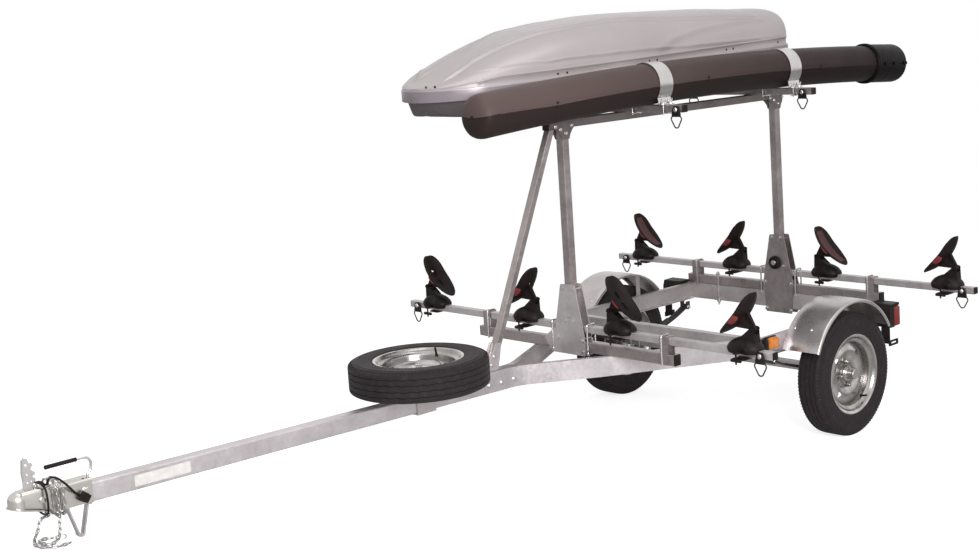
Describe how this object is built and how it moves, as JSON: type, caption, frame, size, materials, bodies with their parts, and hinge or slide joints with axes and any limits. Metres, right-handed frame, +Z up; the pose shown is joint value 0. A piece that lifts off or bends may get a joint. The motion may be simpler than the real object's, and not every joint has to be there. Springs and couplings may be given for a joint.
{
  "type": "kayak trailer",
  "caption": "Galvanised kayak trailer with tilting cradle saddles on its load bars, an upper rack carrying a lidded cargo box and a rod tube, a spare wheel and a parking stand.",
  "frame": {"origin": "on the floor under the middle of the trailer's overall box, cords left out", "axes": "+X forward to the hitch, +Y to the trailer's left, +Z up; tyres and parking stand rest on Z = 0"},
  "size_m": [4.4574, 2.062, 1.8596],
  "materials": {
    "galvanised": "hot-dip galvanised",
    "zinc": "bright zinc plated",
    "black_steel": "black paint",
    "tyre": "moulded rubber",
    "plastic": "fine grain",
    "box_lid": "silver, satin",
    "box_base": "dark, textured",
    "tube": "dark, smooth",
    "lamp": "red lens and black housing"
  },
  "bodies": {
    "frame": {"tongue_tube": "galvanised", "tongue_stand": "galvanised", "left_frame_rail": "galvanised", "right_frame_rail": "galvanised", "front_crossmember": "galvanised", "rear_crossmember": "galvanised", "axle_beam": "galvanised", "left_fender": "galvanised", "right_fender": "galvanised", "front_cross_beam": "galvanised", "rear_cross_beam": "galvanised", "front_load_bar": "galvanised", "rear_load_bar": "galvanised", "front_gusset": "galvanised", "rear_gusset": "galvanised", "front_post": "galvanised", "rear_post": "galvanised", "post_brace": "galvanised", "top_rail": "galvanised", "front_top_bar": "galvanised", "rear_top_bar": "galvanised", "spare_carrier": "galvanised", "coupler_body": "zinc", "safety_chain": "zinc", "spare_rim": "zinc", "front_tube_strap": "zinc", "rear_tube_strap": "zinc", "left_leaf_spring": "black_steel", "right_leaf_spring": "black_steel", "spare_tyre": "tyre", "lift_handle": "plastic", "harness_cable": "plastic", "harness_plug": "plastic", "saddle_base_front_1": "plastic", "saddle_base_front_2": "plastic", "saddle_base_front_3": "plastic", "saddle_base_front_4": "plastic", "saddle_base_rear_1": "plastic", "saddle_base_rear_2": "plastic", "saddle_base_rear_3": "plastic", "saddle_base_rear_4": "plastic", "cargo_box_base": "box_base", "rod_tube": "tube", "left_tail_light": "lamp", "right_tail_light": "lamp"},
    "left_wheel": {"left_wheel_rim": "zinc", "left_tyre": "tyre"},
    "right_wheel": {"right_wheel_rim": "zinc", "right_tyre": "tyre"},
    "latch": {"coupler_latch": "zinc"},
    "lid": {"cargo_box_lid": "box_lid"},
    "tube_cap": {"rod_tube_cap": "tube"},
    "pad_front_1": {"saddle_pad_front_1": "plastic"},
    "pad_front_2": {"saddle_pad_front_2": "plastic"},
    "pad_front_3": {"saddle_pad_front_3": "plastic"},
    "pad_front_4": {"saddle_pad_front_4": "plastic"},
    "pad_rear_1": {"saddle_pad_rear_1": "plastic"},
    "pad_rear_2": {"saddle_pad_rear_2": "plastic"},
    "pad_rear_3": {"saddle_pad_rear_3": "plastic"},
    "pad_rear_4": {"saddle_pad_rear_4": "plastic"}
  },
  "joints": [
    {"name": "left_wheel_spin", "type": "hinge", "parent": "frame", "child": "left_wheel", "pos_m": [-1.20048, 0.651, 0.26554], "axis": [0, 1, 0], "continuous": true},
    {"name": "right_wheel_spin", "type": "hinge", "parent": "frame", "child": "right_wheel", "pos_m": [-1.20048, -0.651, 0.26554], "axis": [0, 1, 0], "continuous": true},
    {"name": "latch_hinge", "type": "hinge", "parent": "frame", "child": "latch", "pos_m": [2.13725, 0, 0.18594], "axis": [0, 1, 0], "range_deg": [-20, 0]},
    {"name": "lid_hinge", "type": "hinge", "parent": "frame", "child": "lid", "pos_m": [-0.10538, -0.666, 1.4538], "axis": [0.9906, 0, -0.1364], "range_deg": [0, 50]},
    {"name": "cap_slide", "type": "slide", "parent": "frame", "child": "tube_cap", "axis": [-0.9987, 0, 0.0501], "range_m": [0, 0.1]},
    {"name": "pad_front_1_tilt", "type": "hinge", "parent": "frame", "child": "pad_front_1", "pos_m": [-0.19755, -0.905, 0.56959], "axis": [0.9946, 0, -0.1037], "range_deg": [-10, 15]},
    {"name": "pad_front_2_tilt", "type": "hinge", "parent": "frame", "child": "pad_front_2", "pos_m": [-0.19755, -0.219, 0.56959], "axis": [0.9946, 0, -0.1037], "range_deg": [-15, 10]},
    {"name": "pad_front_3_tilt", "type": "hinge", "parent": "frame", "child": "pad_front_3", "pos_m": [-0.19755, 0.219, 0.56959], "axis": [0.9946, 0, -0.1037], "range_deg": [-10, 15]},
    {"name": "pad_front_4_tilt", "type": "hinge", "parent": "frame", "child": "pad_front_4", "pos_m": [-0.19755, 0.942, 0.56959], "axis": [0.9946, 0, -0.1037], "range_deg": [-15, 10]},
    {"name": "pad_rear_1_tilt", "type": "hinge", "parent": "frame", "child": "pad_rear_1", "pos_m": [-1.59995, -0.905, 0.71579], "axis": [0.9946, 0, -0.1037], "range_deg": [-10, 15]},
    {"name": "pad_rear_2_tilt", "type": "hinge", "parent": "frame", "child": "pad_rear_2", "pos_m": [-1.59995, -0.219, 0.71579], "axis": [0.9946, 0, -0.1037], "range_deg": [-15, 10]},
    {"name": "pad_rear_3_tilt", "type": "hinge", "parent": "frame", "child": "pad_rear_3", "pos_m": [-1.59995, 0.219, 0.71579], "axis": [0.9946, 0, -0.1037], "range_deg": [-10, 15]},
    {"name": "pad_rear_4_tilt", "type": "hinge", "parent": "frame", "child": "pad_rear_4", "pos_m": [-1.59995, 0.942, 0.71579], "axis": [0.9946, 0, -0.1037], "range_deg": [-15, 10]}
  ]
}
